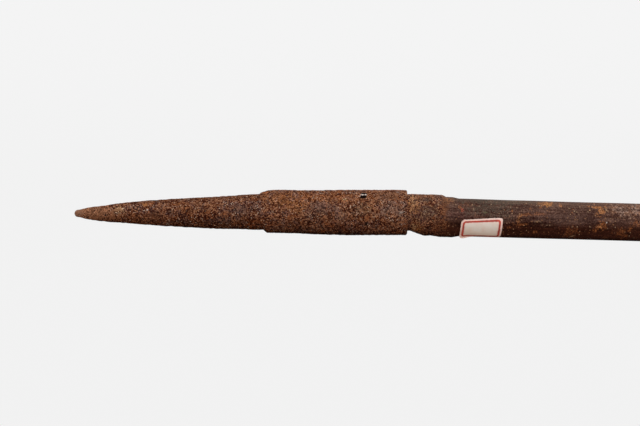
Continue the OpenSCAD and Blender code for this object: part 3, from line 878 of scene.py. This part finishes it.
def agedPaper():
    material, tree, shader = startMaterial("aged label paper")
    p = labelPaper
    spot = addNode(tree, "UVMap", uv_map="paper").outputs[0]
    flat = vectors(tree, "MULTIPLY", spot, (p["length"], p["wrap"], 0))
    wobble, fibre, stain = [
        addNode(tree, "TexNoise", {"Vector": flat, "Scale": scale, "Detail": detail,
                                   "Roughness": rough}).outputs[0]
        for scale, detail, rough in ((0.55, 2.0, 0.5), (2.6, 4.0, 0.7), (0.16, 3.0, 0.6))]
    # distance outside a rounded rectangle, for the printed frame
    centred = vectors(tree, "SUBTRACT", flat, (p["length"] / 2, p["wrap"] / 2, 0))
    inner = p["margin"] + p["line"] / 2 + p["lineCorner"]
    away = vectors(tree, "SUBTRACT", vectors(tree, "ABSOLUTE", centred),
                   (p["length"] / 2 - inner, p["wrap"] / 2 - inner, 0))
    beyond = vectors(tree, "MAXIMUM", away)
    outside = addNode(tree, "VectorMath", {0: beyond}, operation="LENGTH").outputs["Value"]
    right, above, _ = addNode(tree, "SeparateXYZ", {0: away}).outputs
    inside = sums(tree, "MINIMUM", sums(tree, "MAXIMUM", right, above), 0.0)
    distance = sums(tree, "SUBTRACT", sums(tree, "ADD", outside, inside), p["lineCorner"])
    distance = sums(tree, "ADD", distance, sums(tree, "MULTIPLY_ADD", wobble, 0.7, -0.35))
    fromLine, half = sums(tree, "ABSOLUTE", distance), p["line"] / 2
    line = steps(tree, fromLine, half + 0.16, half - 0.16)
    bleed = steps(tree, fromLine, half + 1.3, half)
    inked = times(tree, line, steps(tree, fibre, 0.22, 0.42))
    rise = addNode(tree, "SeparateXYZ", {0: spot}).outputs["Y"]
    paper = ramp(tree, stain, p["sheet"])
    for amount, share, tint in ((steps(tree, rise, 0.55, 0.08), 0.7, "lowPart"),
                                (steps(tree, rise, 0.66, 0.90), 0.8, "topEdge"),
                                (steps(tree, fibre, 0.60, 0.38), 0.12, "fibre"),
                                (bleed, 0.30, "bleed"),
                                (steps(tree, distance, half, half + 0.5), 0.85, "border")):
        paper = washed(tree, paper, amount, share, p[tint])
    colour = washed(tree, paper, inked, 0.95, ramp(tree, stain, p["ink"]))
    tree.links.new(colour, shader.inputs["Base Color"])
    shader.inputs["Roughness"].default_value = 0.72
    shader.inputs["Specular IOR Level"].default_value = 0.15
    bumped(tree, shader, [(fibre, 0.25, 0.05), (wobble, 0.4, 0.15)])
    return material


def buildLabel():
    p, s = labelPaper, shaftPole
    v, u = np.meshgrid(np.linspace(0, 1, p["rows"]), np.linspace(-1, 1, p["columns"]),
                       indexing="ij")
    # the end near the socket is narrower, and the rows near the edges are shorter, for the corners
    tall = p["wrap"] - p["nearShort"] * (1 - u) / 2
    fromEdge = np.minimum(v, 1 - v) * tall
    inset = np.clip(p["corner"] - fromEdge, 0, p["corner"])
    half = p["length"] / 2 - (p["corner"] - np.sqrt(p["corner"] ** 2 - inset ** 2))
    a = u * half
    b = v * tall - p["wrap"] / 2
    # the cut edges are a little torn
    torn = np.clip(fractalAt(np.stack([a, b, 0 * a], -1), 1.6, 3, 90) + 0.3, 0, 1)
    rim = smooth(0.90, 1, np.abs(u)) + smooth(0.42, 0.5, np.abs(v - 0.5))
    a = a - np.sign(u) * 0.22 * torn * rim
    b = b - np.sign(v - 0.5) * 0.20 * torn * rim
    along = p["start"] + p["length"] / 2 + a - b * math.tan(math.radians(p["endLean"]))
    down = p["wrap"] / 2 + b - a * math.tan(math.radians(p["rowTilt"]))
    surface = s["radius"] + s["taperGain"]
    turn = math.radians(p["topTurn"]) - down / surface
    waves = np.clip(fractalAt(np.stack([a, b, 0 * a], -1), 9.0, 2, 91) + 0.3, 0, 1)
    upperNear = smooth(0.93, 1, -u) * smooth(0.3, 0, v)
    lift = 0.14 * smooth(0.62, 1.0, v) + 0.10 * waves + 0.25 * upperNear
    radius = surface + p["gap"] + p["thickness"] + lift
    # the near lower corner has come off: past the glue the paper runs on straight and curls out
    glued = -np.radians(p["peelTurn"] + p["peelSpread"] * (u + 1))
    loose = np.maximum(glued - turn, 0) * surface
    held = np.maximum(turn, glued)
    heading = held + math.radians(p["curl"]) * loose / 2
    front = radius * np.cos(held) + loose * np.sin(heading)
    up = radius * np.sin(held) - loose * np.cos(heading)
    faces = gridFaces(p["rows"], p["columns"], tube=False)
    piece = makePiece("indexLabel", np.stack([along, -front, up], -1), faces, slot="label_paper")
    mesh = piece.data
    if mesh.polygons[len(mesh.polygons) // 2].normal.y > 0:
        mesh.flip_normals()
    spots = np.stack([(a / p["length"] + 0.5).ravel(), (1 - v).ravel()], -1)
    layer = mesh.uv_layers.new(name="paper")
    corners = np.empty(len(mesh.loops), np.int32)
    mesh.loops.foreach_get("vertex_index", corners)
    layer.data.foreach_set("uv", spots[corners].ravel())
    thick = piece.modifiers.new("paper thickness", "SOLIDIFY")
    thick.thickness = p["thickness"] * mm
    thick.offset = -1
    return piece


iron, wood, paper, black = rustedIron(), darkWood(), agedPaper(), blackNail()

point = buildPoint()
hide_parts("point")
point.data.materials.append(iron)
print("point:", len(point.data.polygons), "faces")

socket = buildSocket()
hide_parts("socket")
socket.data.materials.append(iron)
print("socket:", len(socket.data.polygons), "faces")

for count, (node, turnDegrees) in enumerate(nailSet["turns"].items()):
    buildNail(node, turnDegrees, 100 + count).data.materials.append(black)
print("nails:", len(nailSet["turns"]))

shaft = buildShaft()
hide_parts("shaft")
shaft.data.materials.append(wood)
print("shaft:", len(shaft.data.polygons), "faces")

label = buildLabel()
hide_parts("label")
label.data.materials.append(paper)
print("label:", len(label.data.polygons), "faces")


# In metres. The harpoon lies on its socket and its butt, and the floor leans a hair to touch both.
room = {"socketAt": -0.361, "socketLow": -0.01655, "buttAt": 1.187, "buttLow": -0.01420,
        "span": 12.0, "pale": (0.884, 0.884, 0.884), "paleHigh": (0.905, 0.905, 0.905),
        "highFrom": 0.13, "level": 1.05, "bounce": (0.44, 0.375, 0.32), "dome": 0.55,
        # the floor shows shadow up to nearReach from the harpoon's own line, none past farReach
        "halfLine": 0.80, "nearReach": 0.20, "farReach": 0.42}


def floorHeight(x):
    r = room
    lean = (x - r["socketAt"]) * (r["buttLow"] - r["socketLow"]) / (r["buttAt"] - r["socketAt"])
    return r["socketLow"] + lean


def twoFaced(tree, lighting, seen, output):
    # one surface for the light that it throws, another for the camera and for reflections
    rays = addNode(tree, "LightPath").outputs
    mirrored = sums(tree, "MAXIMUM", rays["Is Glossy Ray"], rays["Is Transmission Ray"])
    shown = sums(tree, "MAXIMUM", rays["Is Camera Ray"], mirrored)
    both = addNode(tree, "MixShader", {0: shown, 1: lighting, 2: seen}).outputs[0]
    tree.links.new(both, addNode(tree, output).inputs["Surface"])


def buildFloor():
    r = room
    middle = (r["socketAt"] + r["buttAt"]) / 2
    reach = r["span"] / 2
    corners = [(middle + i * reach, j * reach, floorHeight(middle + i * reach))
               for i, j in ((-1, -1), (1, -1), (1, 1), (-1, 1))]
    mesh = bpy.data.meshes.new("floor")
    mesh.from_pydata(corners, [], [(0, 1, 2, 3)])
    floor = bpy.data.objects.new("floor", mesh)
    bpy.context.scene.collection.objects.link(floor)
    material, tree, _ = startMaterial("pale floor")
    tree.nodes.clear()
    x, y, _ = addNode(tree, "SeparateXYZ", {0: objectCoords(tree)}).outputs
    offMiddle = sums(tree, "ABSOLUTE", sums(tree, "SUBTRACT", x, middle))
    past = sums(tree, "MAXIMUM", sums(tree, "SUBTRACT", offMiddle, r["halfLine"]), 0.0)
    away = sums(tree, "ADD", times(tree, past, past), times(tree, y, y))
    away = sums(tree, "POWER", away, 0.5)
    far = steps(tree, away, r["nearReach"], r["farReach"])
    shade = [c / r["level"] for c in r["pale"]]
    near = addNode(tree, "BsdfDiffuse", {"Color": (*shade, 1)}).outputs[0]
    glow = addNode(tree, "Emission", {"Color": (*r["pale"], 1), "Strength": 1.0}).outputs[0]
    seen = addNode(tree, "MixShader", {0: far, 1: near, 2: glow}).outputs[0]
    bounce = addNode(tree, "BsdfDiffuse", {"Color": (*r["bounce"], 1)}).outputs[0]
    twoFaced(tree, bounce, seen, "OutputMaterial")
    floor.data.materials.append(material)


def buildWorld():
    r = room
    world = bpy.data.worlds.new("soft studio")
    world.use_nodes = True
    tree = world.node_tree
    tree.nodes.clear()
    direction = addNode(tree, "TexCoord").outputs["Generated"]
    height = addNode(tree, "SeparateXYZ", {0: direction}).outputs["Z"]
    backdrop = mixed(tree, steps(tree, height, 0.0, r["highFrom"]), r["pale"], r["paleHigh"])
    seen = addNode(tree, "Background", {"Color": backdrop, "Strength": 1.0}).outputs[0]
    dome = {"Color": (1, 1, 1, 1), "Strength": r["dome"]}
    twoFaced(tree, addNode(tree, "Background", dome).outputs[0], seen, "OutputWorld")
    bpy.context.scene.world = world


lamps = {
    "overhead": {"from": (-0.24, -0.50, 0.80), "strength": 0.29, "angle": 12},
    "left": {"from": (-0.83, 0.10, 0.52), "strength": 0.15, "angle": 11},
    "right": {"from": (0.75, -0.10, 0.65), "strength": 0.15, "angle": 11},
    "front": {"from": (0.05, -0.98, 0.10), "strength": 0.30, "angle": 60},
}


def buildLamps():
    for name, lamp in lamps.items():
        data = bpy.data.lights.new(name, "SUN")
        data.energy = lamp["strength"] * math.pi
        data.angle = math.radians(lamp["angle"])
        light = bpy.data.objects.new(name, data)
        light.rotation_euler = Vector(lamp["from"]).to_track_quat("Z", "Y").to_euler()
        light.location = Vector(lamp["from"]) * 2
        bpy.context.scene.collection.objects.link(light)


# the camera stands at the floor's own level, so that no horizon shows
cameraSet = {"lens": 100, "distance": 1.3475, "aimX": -0.3209, "aimZ": 0.00043, "roll": 1.6}


def buildCamera():
    c = cameraSet
    data = bpy.data.cameras.new("camera")
    data.lens = c["lens"]
    data.sensor_width = 36
    data.clip_end = 50
    camera = bpy.data.objects.new("camera", data)
    bpy.context.scene.collection.objects.link(camera)
    low = floorHeight(c["aimX"])
    tilt = math.asin((c["aimZ"] - low) / c["distance"])
    camera.location = (c["aimX"], -c["distance"] * math.cos(tilt), low)
    level = Euler((math.pi / 2 + tilt, 0, 0)).to_matrix()
    rolled = level @ Matrix.Rotation(math.radians(c["roll"]), 3, "Z")
    camera.rotation_euler = rolled.to_euler()
    bpy.context.scene.camera = camera


buildFloor()
buildWorld()
buildLamps()
buildCamera()
bpy.context.scene.view_settings.view_transform = "Standard"
print("room, lamps and camera placed")
